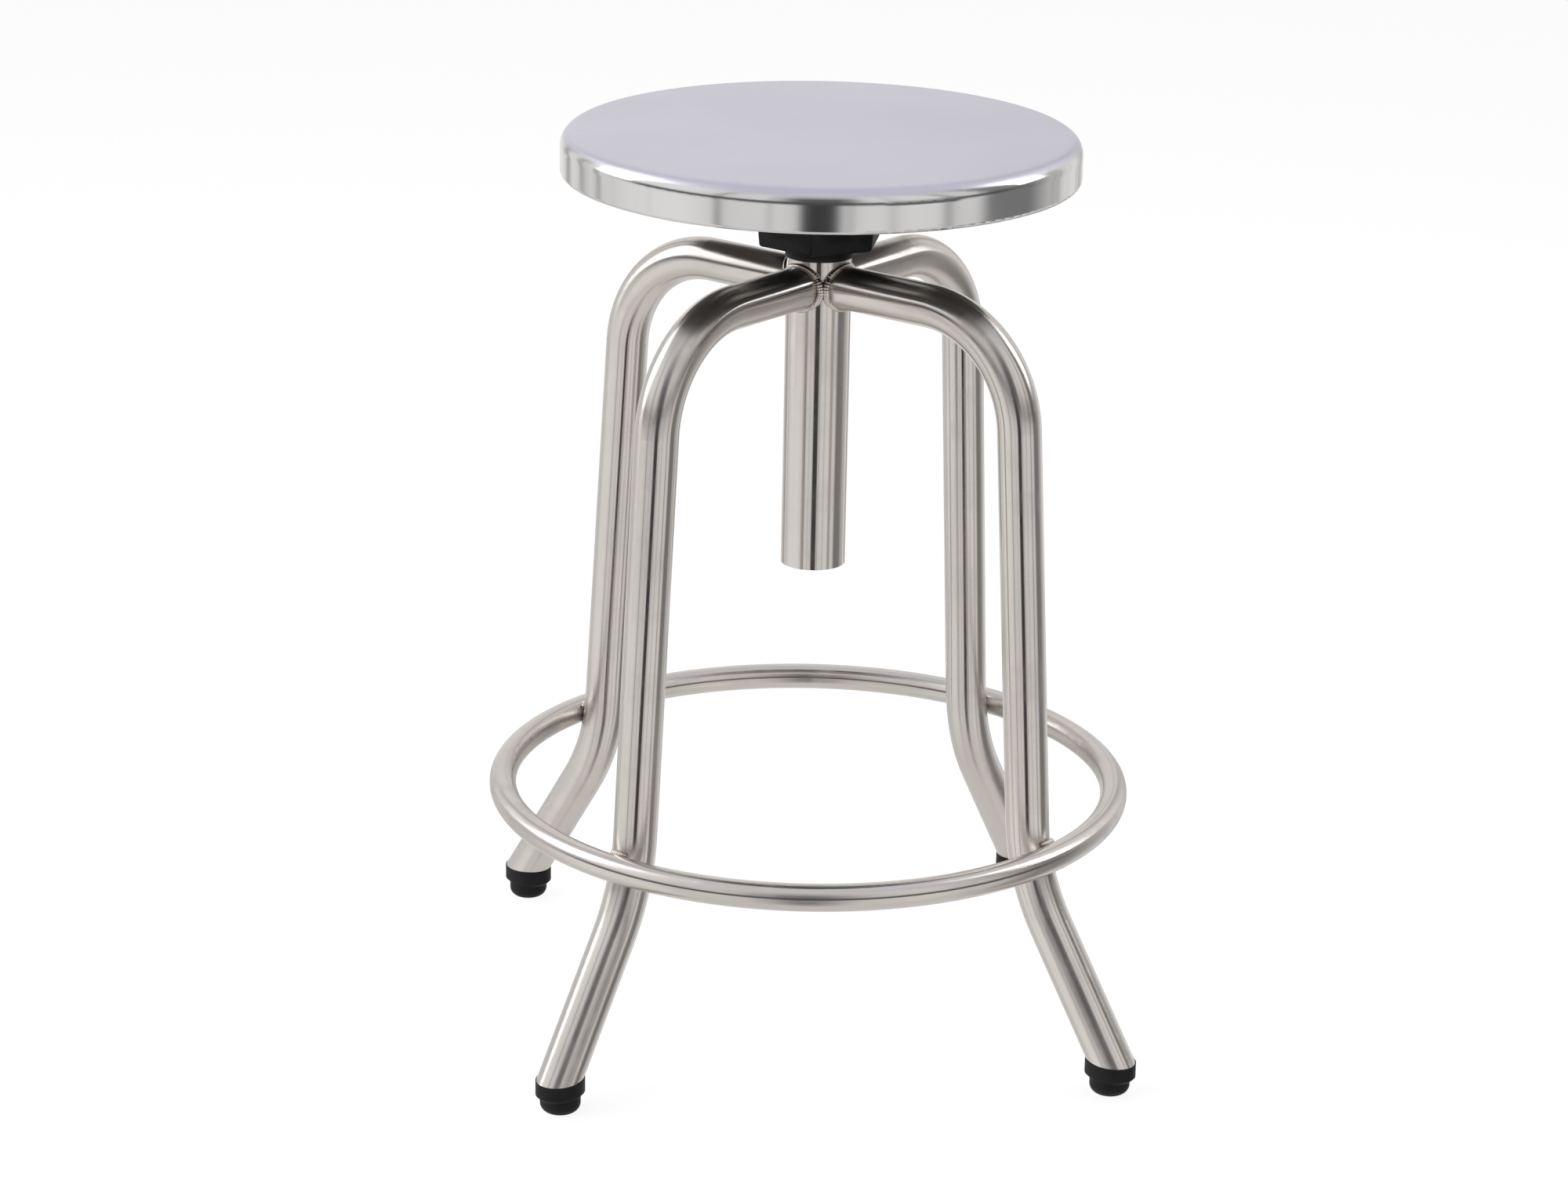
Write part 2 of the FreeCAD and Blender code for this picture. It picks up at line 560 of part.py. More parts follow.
def make_spindle_end():
    bore = "Sizes.endScrewDiameter + 2 * Sizes.pressGap"
    make_sleeve(
        "spindle_end_washer", "Sizes.endWasherDiameter", bore, WASHER_UNDERSIDE, "Sizes.endWasherThickness"
    )
    body = new_body("spindle_end_screw")
    head = new_sketch(body, "HeadOutline", "XY_Plane", WASHER_UNDERSIDE)
    draw_hexagon(head, "Sizes.endScrewHead")
    pad(body, head, "Head", "Sizes.endScrewHeadHeight", downward=True)
    shank = new_sketch(body, "ShankOutline", "XY_Plane", WASHER_UNDERSIDE)
    draw_circle(shank, "Sizes.endScrewDiameter")
    pad(body, shank, "Shank", "Sizes.endScrewLength")

    outside = f"({COLUMN_BORE} - 2 * Sizes.guideGap)"
    bore = "Sizes.journalDiameter + 2 * Sizes.journalGap"
    body, sleeve = make_sleeve("guide_bush", outside, bore, GUIDE_FOOT, "Sizes.guideLength")
    rims = [(outside, GUIDE_FOOT), (outside, f"{GUIDE_FOOT} + Sizes.guideLength")]
    bevel_rims(body, sleeve, "LeadIns", "Sizes.edgeBevel", rims)


def make_lock_nut():
    body = new_body("lock_nut")
    outline = new_sketch(body, "HexagonOutline", "XY_Plane", HEXAGON_FOOT)
    draw_hexagon(outline, "Sizes.lockNutAcrossFlats")
    hexagon = pad(body, outline, "Hexagon", "Sizes.lockNutHeight")
    hexagon.setExpression("TaperAngle", "Sizes.lockNutDraft")
    DOC.recompute()
    rounded = body.newObject("PartDesign::Fillet", "SoftEdges")
    rounded.Base = (hexagon, ["Edge%d" % (k + 1) for k in range(len(hexagon.Shape.Edges))])
    rounded.setExpression("Radius", "Sizes.lockNutEdge")
    DOC.recompute()
    boss = new_sketch(body, "BossOutline", "XY_Plane", HEXAGON_FOOT)
    draw_circle(boss, "Sizes.lockNutBossDiameter")
    pad(body, boss, "Boss", "Sizes.lockNutBossHeight", downward=True)
    bore = new_sketch(body, "BoreOutline", "XY_Plane", LOCK_NUT_FOOT)
    draw_circle(bore, "Sizes.insertDiameter + 2 * Sizes.pressGap")
    pocket(body, bore, "Bore", upward=True)
    body.setExpression("Placement.Rotation.Angle", "Sizes.lockNutTurn")

    length = "Sizes.lockNutBossHeight + Sizes.lockNutHeight"
    body, sleeve = make_sleeve("lock_nut_insert", "Sizes.insertDiameter", NUT_BORE, LOCK_NUT_FOOT, length)
    rims = [(NUT_BORE, LOCK_NUT_FOOT), (NUT_BORE, f"{LOCK_NUT_FOOT} + {length}")]
    bevel_rims(body, sleeve, "LeadIns", "Sizes.edgeBevel", rims)
    bore = "Sizes.spindleDiameter + 2 * Sizes.washerBoreGap"
    make_sleeve("lock_nut_washer", "Sizes.washerDiameter", bore, WASHER_FOOT, "Sizes.washerThickness")


def check_model():
    for item in DOC.Objects:
        if "Invalid" in item.State or "Error" in item.State:
            raise RuntimeError("%s did not build" % item.Label)
    bodies = [item for item in DOC.Objects if item.TypeId == "PartDesign::Body"]
    for body in bodies:
        if body.Shape.isNull() or not body.Shape.isValid() or not body.Shape.Solids:
            raise RuntimeError("%s has no valid solid" % body.Label)
    return bodies


def main():
    fill_sheet()
    make_column()
    for corner, azimuth in CORNERS:
        make_leg("leg_" + corner, azimuth)
        make_foot("foot_" + corner, azimuth)
    make_foot_ring()
    make_seat_pan()
    make_seat_core()
    make_seat_flange()
    make_flange_screws()
    make_spindle()
    make_spindle_end()
    make_lock_nut()
    DOC.recompute()
    os.makedirs("parts", exist_ok=True)
    for body in check_model():
        body.Shape.exportStep("parts/%s.step" % body.Label)


main()
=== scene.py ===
import json
import math

import bmesh
import bpy
from mathutils import Matrix, Vector, noise


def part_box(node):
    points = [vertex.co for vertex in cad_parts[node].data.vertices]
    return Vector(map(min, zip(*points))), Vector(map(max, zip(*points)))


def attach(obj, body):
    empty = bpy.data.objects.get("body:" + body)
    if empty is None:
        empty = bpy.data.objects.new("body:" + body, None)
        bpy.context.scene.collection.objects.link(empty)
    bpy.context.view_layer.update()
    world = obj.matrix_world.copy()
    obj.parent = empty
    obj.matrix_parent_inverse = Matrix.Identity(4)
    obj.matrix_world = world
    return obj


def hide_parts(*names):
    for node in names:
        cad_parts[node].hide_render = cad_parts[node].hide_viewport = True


# The looks of a revolving machinist stool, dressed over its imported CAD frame. Everything is in
# metres in the frame's own axes: the floor is z = 0, the front is toward minus Y.

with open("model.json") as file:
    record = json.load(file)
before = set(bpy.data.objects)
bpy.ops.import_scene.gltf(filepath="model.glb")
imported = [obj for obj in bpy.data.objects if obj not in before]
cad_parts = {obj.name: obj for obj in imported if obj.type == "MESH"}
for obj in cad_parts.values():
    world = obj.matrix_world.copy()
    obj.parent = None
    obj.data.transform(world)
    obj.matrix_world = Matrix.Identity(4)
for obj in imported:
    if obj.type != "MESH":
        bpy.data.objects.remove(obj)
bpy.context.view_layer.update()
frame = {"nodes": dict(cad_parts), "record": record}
NODES = frame["nodes"]
MM = 0.001

# The photograph's camera, fitted to the stool's outline in the 2000 x 1510 frame.
CAMERA_PLACE = (-0.2988, -2.3083, 1.0399)
CAMERA_HEADING = math.radians(-6.965)
CAMERA_PITCH = math.radians(18.617)
CAMERA_ROLL = math.radians(1.091)
CAMERA_LENS = 94.83
SENSOR_WIDTH = 36.0
TOWARDS_CAMERA = math.atan2(CAMERA_PLACE[1], CAMERA_PLACE[0])

# Sizes, most of them read from the frame. Legs and flange screws stand at the same azimuths.
LEG_RADIUS = 12.7 * MM
COLUMN_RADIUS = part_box("column_tube")[1].x
JOIN_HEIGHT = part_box("leg_front_left")[1].z - LEG_RADIUS
RING_LOW, RING_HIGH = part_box("foot_ring")
RING_TUBE = (RING_HIGH.z - RING_LOW.z) / 2
RING_HEIGHT = (RING_HIGH.z + RING_LOW.z) / 2
RING_REACH = RING_HIGH.x - RING_TUBE
SEAT_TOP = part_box("seat_pan")[1].z
AZIMUTHS = (45, 135, 225, 315)


# Node helpers

def set_inputs(tree, node, inputs):
    """Gives each named or numbered input of a node a value or a link."""
    for name, value in inputs.items():
        if isinstance(value, bpy.types.NodeSocket):
            tree.links.new(value, node.inputs[name])
        else:
            node.inputs[name].default_value = value


def add_node(tree, kind, inputs=None, **settings):
    node = tree.nodes.new("ShaderNode" + kind)
    for name, value in settings.items():
        setattr(node, name, value)
    set_inputs(tree, node, inputs or {})
    return node


def new_material(name):
    material = bpy.data.materials.new(name)
    material.use_nodes = True
    return material, material.node_tree, material.node_tree.nodes["Principled BSDF"]


def place(tree, scale=(1, 1, 1)):
    """The point on the piece in its own metres, stretched by scale."""
    where = add_node(tree, "TexCoord").outputs["Object"]
    return add_node(tree, "Mapping", {"Vector": where, "Scale": scale}).outputs["Vector"]


def grain(tree, scale, detail=3.0, roughness=0.5, stretch=(1, 1, 1)):
    """Noise over the piece, at so many features to the metre."""
    inputs = {"Vector": place(tree, stretch), "Scale": scale, "Detail": detail, "Roughness": roughness}
    return add_node(tree, "TexNoise", inputs).outputs[0]


def spread(tree, value, low, high, start=0.3, stop=0.7):
    """Maps a texture value from start..stop to low..high."""
    inputs = {"Value": value, "From Min": start, "From Max": stop, "To Min": low, "To Max": high}
    return add_node(tree, "MapRange", inputs).outputs["Result"]


def mix_colours(tree, factor, first, second):
    return add_node(tree, "Mix", {0: factor, 6: first, 7: second}, data_type="RGBA").outputs[2]


def mix_numbers(tree, factor, first, second):
    return add_node(tree, "Mix", {0: factor, 2: first, 3: second}, data_type="FLOAT").outputs[0]


def vary(tree, texture, first, second):
    """From the first colour to the second over a texture's usual range."""
    return mix_colours(tree, spread(tree, texture, 0, 1), first, second)


def multiply(tree, first, *others):
    for other in others:
        first = add_node(tree, "Math", {0: first, 1: other}, operation="MULTIPLY").outputs[0]
    return first


def bump(tree, height, distance, below=None):
    inputs = {"Height": height, "Distance": distance, "Strength": 1.0}
    if below:
        inputs["Normal"] = below
    return add_node(tree, "Bump", inputs).outputs["Normal"]


def shade(colour, factor):
    return tuple(channel * factor for channel in colour) + (1.0,)


# Materials. A grain's stretch is least along the marks it draws.

TUBE_TONE = (0.665, 0.63, 0.605)
PLAIN_TONE = (0.52, 0.515, 0.5)


def run_of_column(tree):
    return add_node(tree, "CombineXYZ", {"Z": 1.0}).outputs[0]


def run_of_ring(tree):
    where = add_node(tree, "TexCoord").outputs["Object"]
    upright = add_node(tree, "CombineXYZ", {"Z": 1.0}).outputs[0]
    return add_node(tree, "VectorMath", {0: upright, 1: where}, operation="CROSS_PRODUCT").outputs[0]


def run_of_leg(tree):
    """Along a bent tube in one upright plane: across both that plane's normal and the wall's."""
    parts = add_node(tree, "SeparateXYZ", {0: add_node(tree, "TexCoord").outputs["Object"]})
    product = multiply(tree, parts.outputs["X"], parts.outputs["Y"], -1.0)
    flipped = add_node(tree, "Math", {0: product}, operation="SIGN").outputs[0]
    across = add_node(tree, "CombineXYZ", {"X": flipped, "Y": 1.0}).outputs[0]
    wall = add_node(tree, "NewGeometry").outputs["Normal"]
    return add_node(tree, "VectorMath", {0: across, 1: wall}, operation="CROSS_PRODUCT").outputs[0]


def make_tube_steel(name, run):
    """Belt-polished tube: the marks go round it, so what it mirrors is drawn out along it."""
    material, tree, shader = new_material(name)
    waves = grain(tree, 14, 2.0)
    marks = grain(tree, 1, 4.0, stretch=(70, 70, 2600))
    cloud = grain(tree, 38, 4.0, 0.6)
    worn = spread(tree, cloud, 0, 1, 0.5, 0.72)
    set_inputs(tree, shader, {
        "Metallic": 1.0,
        "Anisotropic": 1.0,
        "Tangent": run(tree),
        "Base Color": vary(tree, waves, shade(TUBE_TONE, 0.95), shade(TUBE_TONE, 1.04)),
        "Roughness": mix_numbers(tree, worn, spread(tree, marks, 0.15, 0.19), 0.25),
        "Normal": bump(tree, marks, 0.002 * MM, below=bump(tree, waves, 0.05 * MM)),
    })
    return material


def make_satin_steel():
    """The seat: an even satin top inside a polished edge, skirt and hem."""
    material, tree, shader = new_material("satin_steel")
    where = add_node(tree, "TexCoord").outputs["Object"]
    height = add_node(tree, "SeparateXYZ", {0: where}).outputs["Z"]
    polished = spread(tree, height, 1, 0, SEAT_TOP - 4.6 * MM, SEAT_TOP - 2.4 * MM)
    cloud = grain(tree, 9, 3.0)
    brush = grain(tree, 1, 4.0, stretch=(40, 2200, 300))
    scratch = grain(tree, 1, 2.0, stretch=(1300, 24, 300))
    top = vary(tree, cloud, (0.645, 0.635, 0.735, 1), (0.685, 0.675, 0.775, 1))
    scratched = spread(tree, scratch, 0, 1, 0.7, 0.8)
    rough = mix_numbers(tree, scratched, spread(tree, brush, 0.33, 0.41), 0.5)
    bright = spread(tree, cloud, 0.11, 0.18)
    set_inputs(tree, shader, {
        "Metallic": 1.0,
        "Base Color": mix_colours(tree, polished, top, (0.68, 0.68, 0.69, 1)),
        "Roughness": mix_numbers(tree, polished, rough, bright),
        "Normal": bump(tree, mix_numbers(tree, polished, brush, 0.5), 0.004 * MM),
    })
    return material


def make_plain_steel():
    """Turned steel with a thin zinc coat: lathe marks and slightly blotched."""
    material, tree, shader = new_material("plain_steel")
    blotch = grain(tree, 120, 4.0)
    marks = grain(tree, 1, 3.0, stretch=(90, 90, 5200))
    set_inputs(tree, shader, {
        "Metallic": 1.0,
        "Base Color": vary(tree, blotch, shade(PLAIN_TONE, 0.86), shade(PLAIN_TONE, 1.12)),
        "Roughness": spread(tree, blotch, 0.24, 0.38),
        "Normal": bump(tree, marks, 0.01 * MM),
    })
    return material


def make_weld_steel():
    """Weld metal dressed with a flap wheel: faintly heat tinted."""
    material, tree, shader = new_material("weld_steel")
    patch = grain(tree, 420, 3.0)
    tint = grain(tree, 160, 2.0)
    set_inputs(tree, shader, {
        "Metallic": 1.0,
        "Base Color": vary(tree, tint, (0.56, 0.49, 0.43, 1), (0.76, 0.73, 0.70, 1)),
        "Roughness": spread(tree, patch, 0.12, 0.3),
        "Normal": bump(tree, patch, 0.08 * MM),
    })
    return material


def make_black_plastic():
    """Moulded black nylon: a fine eroded grain, a little gloss, and paler corners that are partly wear
    and partly a painted edge highlight.
    """
    material, tree, shader = new_material("black_plastic")
    fine = grain(tree, 2600, 2.0)
    cloud = grain(tree, 60, 3.0)
    edges = add_node(tree, "NewGeometry").outputs["Pointiness"]
    # Convex corners are painted paler: partly wear where they rub, partly a painted highlight along the
    # edges.
    worn_and_highlit = spread(tree, edges, 0, 1, 0.52, 0.6)
    body = vary(tree, cloud, (0.012, 0.012, 0.0128, 1), (0.018, 0.018, 0.0192, 1))
    set_inputs(tree, shader, {
        "Base Color": mix_colours(tree, worn_and_highlit, body, (0.03, 0.03, 0.033, 1)),
        "Roughness": spread(tree, cloud, 0.4, 0.5),
        "Specular IOR Level": 0.06,
        "Normal": bump(tree, fine, 0.03 * MM),
    })
    return material


def make_black_rubber():
    """Moulded rubber: matt, with a fine pebble, a parting line and floor dust low on the pad."""
    material, tree, shader = new_material("black_rubber")
    parting_height = 7.4 * MM
    pebble = grain(tree, 1500, 3.0)
    cloud = grain(tree, 180, 4.0)
    where = add_node(tree, "TexCoord").outputs["Object"]
    height = add_node(tree, "SeparateXYZ", {0: where}).outputs["Z"]
    low = spread(tree, height, 1, 0, 0.2 * MM, 5 * MM)
    dust = multiply(tree, low, spread(tree, cloud, 0, 1, 0.42, 0.7))
    body = vary(tree, cloud, (0.009, 0.009, 0.0101, 1), (0.016, 0.016, 0.0177, 1))
    above = add_node(tree, "Math", {0: height, 1: parting_height}, operation="SUBTRACT").outputs[0]
    from_line = add_node(tree, "Math", {0: above}, operation="ABSOLUTE").outputs[0]
    seam = spread(tree, from_line, 1, 0, 0.1 * MM, 0.3 * MM)
    set_inputs(tree, shader, {
        "Base Color": mix_colours(tree, dust, body, (0.085, 0.083, 0.08, 1)),
        "Roughness": spread(tree, cloud, 0.5, 0.66),
        "Specular IOR Level": 0.2,
        "Normal": bump(tree, pebble, 0.06 * MM, below=bump(tree, seam, 0.15 * MM)),
    })
    return material


def make_white_nylon():
    """Turned nylon: lathe marks and a little light under the surface."""
    material, tree, shader = new_material("white_nylon")
    cloud = grain(tree, 90, 3.0)
    marks = grain(tree, 1, 3.0, stretch=(60, 60, 4200))
    set_inputs(tree, shader, {
        "Base Color": vary(tree, cloud, (0.76, 0.745, 0.69, 1), (0.84, 0.83, 0.78, 1)),
        "Roughness": spread(tree, marks, 0.38, 0.5),
        "Subsurface Weight": 0.08,
        "Subsurface Radius": (1.2 * MM, 1.0 * MM, 0.8 * MM),
        "Normal": bump(tree, marks, 0.012 * MM),
    })
    return material


def make_sealed_board():
    """Birch board under a thin black sealer: the grain still shows as low ridges and a faint sheen."""
    material, tree, shader = new_material("sealed_board")
    rings = {"Vector": place(tree, (7, 60, 60)), "Scale": 2.4, "Distortion": 5.0, "Detail": 3.0}
    figure = add_node(tree, "TexWave", rings, bands_direction="Y").outputs["Fac"]
    fibre = grain(tree, 1, 5.0, 0.6, stretch=(30, 1500, 1500))
    pores = spread(tree, fibre, 0, 1, 0.6, 0.78)
    body = vary(tree, figure, (0.020, 0.018, 0.017, 1), (0.042, 0.038, 0.035, 1))
    set_inputs(tree, shader, {
        "Base Color": mix_colours(tree, pores, body, (0.075, 0.066, 0.058, 1)),
        "Roughness": spread(tree, fibre, 0.42, 0.6),
        "Normal": bump(tree, fibre, 0.08 * MM),
    })
    return material


MATERIALS = {
    "polished_steel": make_tube_steel("leg_steel", run_of_leg),
    "satin_steel": make_satin_steel(),
    "plain_steel": make_plain_steel(),
    "black_plastic": make_black_plastic(),
    "black_rubber": make_black_rubber(),
    "white_nylon": make_white_nylon(),
    "sealed_board": make_sealed_board(),
}
OWN_MATERIALS = {
    "column_tube": make_tube_steel("column_steel", run_of_column),
    "foot_ring": make_tube_steel("ring_steel", run_of_ring),
}
WELD_STEEL = make_weld_steel()


def dress_nodes():
    for part in frame["record"]["subparts"]:
        name = part["node"]
        for slot in NODES[name].material_slots:
            slot.material = OWN_MATERIALS.get(name, MATERIALS[part["material_slot"]])


# Mesh helpers

CIRCLE_STEPS = 96
BEAD_SIDES = 12


def link_mesh(name, mesh):
    """Turns a finished bmesh into an object of the scene."""
    data = bpy.data.meshes.new(name)
    mesh.to_mesh(data)
    mesh.free()
    made = bpy.data.objects.new(name, data)
    bpy.context.scene.collection.objects.link(made)
    return made


def new_piece(name, mesh, body, material):
    """Links a finished bmesh as a piece that rides on a CAD body."""
    bmesh.ops.recalc_face_normals(mesh, faces=mesh.faces)
    piece = link_mesh(name, mesh)
    piece.data.materials.append(material)
    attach(piece, body)
    return piece


def smooth_by_angle(piece, degrees):
    """Smooth shading, with every edge sharper than this left hard."""
    limit = math.radians(degrees)
    work = bmesh.new()
    work.from_mesh(piece.data)
    for face in work.faces:
        face.smooth = True
    for edge in work.edges:
        edge.smooth = len(edge.link_faces) == 2 and edge.calc_face_angle() < limit
    work.to_mesh(piece.data)
    work.free()


def add_rings(mesh, rings):
    """Joins rings of points by faces, one after the other. A ring of one point closes an end."""
    made = [[mesh.verts.new(spot) for spot in ring] for ring in rings]
    count = max(len(ring) for ring in made)
    for lower, upper in zip(made, made[1:]):
        for step in range(count):
            following = (step + 1) % count
            corners = [lower[step % len(lower)], lower[following % len(lower)]]
            corners += [upper[following % len(upper)], upper[step % len(upper)]]
            mesh.faces.new(list(dict.fromkeys(corners)))


def circle(radius, height, segments=CIRCLE_STEPS, place_at=Matrix.Identity(4)):
    """A ring of points about Z, or one point where the radius is 0."""
    if radius == 0:
        return [place_at @ Vector((0, 0, height))]
    angles = [2 * math.pi * step / segments for step in range(segments)]
    return [place_at @ Vector((radius * math.cos(a), radius * math.sin(a), height)) for a in angles]


def add_turned(mesh, profile, segments=CIRCLE_STEPS, place_at=Matrix.Identity(4)):
    """A turned form from its profile of radii and heights."""
    add_rings(mesh, [circle(radius, height, segments, place_at) for radius, height in profile])


def add_bead(mesh, path, radii, closed=False):
    """A tube of changing radius along a path, as a weld bead is laid, its ends capped unless closed."""
    count = len(path)
    rings = []
    side = None
    for index, spot in enumerate(path):
        before = path[(index - 1) % count] if closed or index else spot
        after = path[(index + 1) % count] if closed or index < count - 1 else spot
        along = (after - before).normalized()
        if side is None:
            side = along.orthogonal().normalized()
        else:
            side = (side - along * side.dot(along)).normalized()
        other = along.cross(side)
        ring = []
        for step in range(BEAD_SIDES):
            angle = 2 * math.pi * step / BEAD_SIDES
            offset = side * math.cos(angle) + other * math.sin(angle)
            ring.append(mesh.verts.new(spot + offset * radii[index]))
        rings.append(ring)
    last = count if closed else count - 1
    for index in range(last):
        lower, upper = rings[index], rings[(index + 1) % count]
        twist = 0
        if closed and index == count - 1:
            # Round a closed path the sides come back turned, so the last ring meets its nearest side.
            twist = min(range(BEAD_SIDES), key=lambda k: (upper[k].co - lower[0].co).length)
        for step in range(BEAD_SIDES):
            following = (step + 1) % BEAD_SIDES
            mesh.faces.new([
                lower[step],
                lower[following],
                upper[(following + twist) % BEAD_SIDES],
                upper[(step + twist) % BEAD_SIDES],
            ])
    if not closed:
        mesh.faces.new(rings[0][::-1])
        mesh.faces.new(rings[-1])


def rippled(length_along, base, seed):
    """Radius of a hand-laid bead: stacked ripples with a slow wander."""
    ripple_length = 1.5 * MM
    wander_rate = 260
    ripple = 0.07 * math.sin(2 * math.pi * length_along / ripple_length)
    wander = 0.16 * noise.noise(Vector((length_along * wander_rate, seed * 7.3, 0.5)))
    return base * (1 + ripple + wander)


# Welds

def add_leg_bead(mesh, turn, seed):
    """The bead round a leg's end on the column, fattest at the leg's two sides."""
    steps = 220
    thin = 1.25 * MM
    swell = 0.45 * MM
    sink = 0.35
    path = []
    radii = []
    for step in range(steps):
        angle = 2 * math.pi * step / steps
        bead = thin + swell * abs(math.cos(angle))
        saddle = LEG_RADIUS + sink * bead
        reach = COLUMN_RADIUS + sink * bead
        across = saddle * math.cos(angle)
        outward = math.sqrt(reach ** 2 - across ** 2)
        path.append(turn @ Vector((outward, across, JOIN_HEIGHT + saddle * math.sin(angle))))
        radii.append(rippled(angle * saddle, bead, seed))
    add_bead(mesh, path, radii, closed=True)


def add_knot_run(mesh, turn, side, seed):
    """One of two runs up the gap between neighbouring legs, bowed out and nearest in the middle."""
    steps = 60
    half_height = 8.4 * MM
    drop = 0.8 * MM
    nearest = 1.55 * MM
    flare = 2.4 * MM
    belly = 2.5 * MM
    bead = 2.0 * MM
    drift = 0.3 * MM
    drift_rate = 300
    path = []
    radii = []
    for step in range(steps + 1):
        share = 2 * step / steps - 1
        rise = share * half_height - drop
        apart = side * (nearest + flare * share ** 2)
        apart += drift * noise.noise(Vector((rise * drift_rate, seed * 3.1, side)))
        out = COLUMN_RADIUS + 0.6 * MM + belly * (1 - share ** 2)
        path.append(turn @ Vector((out, apart, JOIN_HEIGHT + rise)))
        taper = math.sqrt(max(1 - share ** 4, 0.03))
        radii.append(rippled(rise, bead, seed + 20 * side) * taper)
    add_bead(mesh, path, radii)


def make_column_welds():
    """A bead round each leg's end on the column, and a double run up each gap between two legs."""
    mesh = bmesh.new()
    for seed, azimuth in enumerate(AZIMUTHS):
        add_leg_bead(mesh, Matrix.Rotation(math.radians(azimuth), 3, "Z"), seed)
        gap = Matrix.Rotation(math.radians(azimuth + 45), 3, "Z")
        for side in (-1, 1):
            add_knot_run(mesh, gap, side, seed)
    piece = new_piece("column_welds", mesh, "stand", WELD_STEEL)
    smooth_by_angle(piece, 60)


def make_ring_welds():
    """Short beads above and below the ring, in the hollow between it and each leg."""
    half_length = 5.6 * MM
    from_middle = 6.3 * MM
    bead = 1.7 * MM
    steps = 60
    contact = RING_REACH - RING_TUBE
    mesh = bmesh.new()
    for seed, azimuth in enumerate(AZIMUTHS):
        turn = Matrix.Rotation(math.radians(azimuth), 3, "Z")
        for side in (-1, 1):
            path = []
            radii = []
            for step in range(steps + 1):
                across = half_length * (2 * step / steps - 1)
                taper = math.sqrt(max(1 - (across / half_length) ** 2, 0.02))
                fill = rippled(across, bead, seed + 10 * side) * taper
                leg_face = contact - LEG_RADIUS + math.sqrt(LEG_RADIUS ** 2 - across ** 2)
                rise = RING_HEIGHT + side * (from_middle - abs(across) * 0.08)
                path.append(turn @ Vector((leg_face + 0.7 * fill, across, rise)))
                radii.append(fill)
            add_bead(mesh, path, radii)
    piece = new_piece("ring_welds", mesh, "stand", WELD_STEEL)
    smooth_by_angle(piece, 60)


def make_hub_weld():
    """The bead between the spindle and the lower end of the flange's hub."""
    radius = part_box("spindle")[1].x + 0.9 * MM
    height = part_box("seat_flange")[0].z - 0.1 * MM
    bead = 1.4 * MM
    steps = 160
    seed = 31
    path = circle(radius, height, steps)
    arc = 2 * math.pi * radius / steps
    radii = [rippled(step * arc, bead, seed) for step in range(steps)]
    mesh = bmesh.new()
    add_bead(mesh, path, radii, closed=True)
    piece = new_piece("hub_weld", mesh, "seat", WELD_STEEL)
    smooth_by_angle(piece, 60)


# Spindle and fasteners

def add_thread(mesh, foot, top, root, crest, segments):
    """A trapezoidal thread, both its ends bevelled down to the root."""
    pitch = 5.0 * MM
    root_width = 1.55 * MM
    flank = 0.75 * MM
    crest_width = 1.95 * MM
    # Across one pitch: along the root, up one flank, along the crest and down the other flank.
    profile = (
        (root, 0.0),
        (root, root_width),
        (crest, root_width + flank),
        (crest, root_width + flank + crest_width),
    )
    turns = math.ceil((top - foot) / pitch) + 1
    columns = []
    for step in range(segments + 1):
        angle = 2 * math.pi * step / segments
        column = []
        for turn in range(turns):
            for radius, rise in profile:
                height = foot - pitch + pitch * (turn + step / segments) + rise
                height = min(max(height, foot), top)
                reach = min(radius, root + height - foot, root + top - height)
                spot = Vector((reach * math.cos(angle), reach * math.sin(angle), height))
                column.append(mesh.verts.new(spot))
        columns.append(column)
    for here, there in zip(columns, columns[1:]):
        for level in range(len(here) - 1):
            mesh.faces.new([here[level], there[level], there[level + 1], here[level + 1]])


def make_threaded_spindle():
    """The spindle with its real thread, 22 mm over the crests, between a turned end and the hub."""
    low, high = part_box("spindle")
    end = 7.0 * MM
    bevel = 0.6 * MM
    foot = low.z + 14.2 * MM
    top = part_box("seat_flange")[0].z
    crest = high.x
    root = crest - 2.75 * MM
    segments = 48
    mesh = bmesh.new()
    add_thread(mesh, foot, top, root, crest, segments)
    turned_end = (
        (0, low.z), (end - bevel, low.z), (end, low.z + bevel), (end, foot), (root, foot),
    )
    add_turned(mesh, turned_end, segments)
    add_turned(mesh, ((root, top), (crest, top), (crest, high.z), (0, high.z)), segments)
    bmesh.ops.remove_doubles(mesh, verts=mesh.verts, dist=0.0005 * MM)
    piece = new_piece("threaded_spindle", mesh, "seat", MATERIALS["plain_steel"])
    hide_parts("spindle")
    smooth_by_angle(piece, 25)


def cut_away(piece, cutter):
    """Takes the cutter's form out of the piece, and the cutter away."""
    modifier = piece.modifiers.new("cut", "BOOLEAN")
    modifier.operation = "DIFFERENCE"
    modifier.solver = "EXACT"
    modifier.object = cutter
    graph = bpy.context.evaluated_depsgraph_get()
    result = bpy.data.meshes.new_from_object(piece.evaluated_get(graph))
    piece.modifiers.clear()
    old = piece.data
    name = old.name
    piece.data = result
    bpy.data.meshes.remove(old)
    result.name = name
    bpy.data.objects.remove(cutter)


def cross(reach, half_width, height, place_at):
    """The outline of a screwdriver's cross, as a ring of twelve points."""
    heading = 20
    points = []
    for quarter in range(4):
        turn = place_at @ Matrix.Rotation(math.radians(heading + 90 * quarter), 4, "Z")
        for x, y in ((reach, -half_width), (reach, half_width), (half_width, half_width)):
            points.append(turn @ Vector((x, y, height)))
    return points


# A pan head's round crown, as shares of its radius and of its height.
CROWN = ((0, 0), (0.35, 0.02), (0.62, 0.1), (0.82, 0.26), (0.95, 0.55), (1, 0.85), (1, 1))


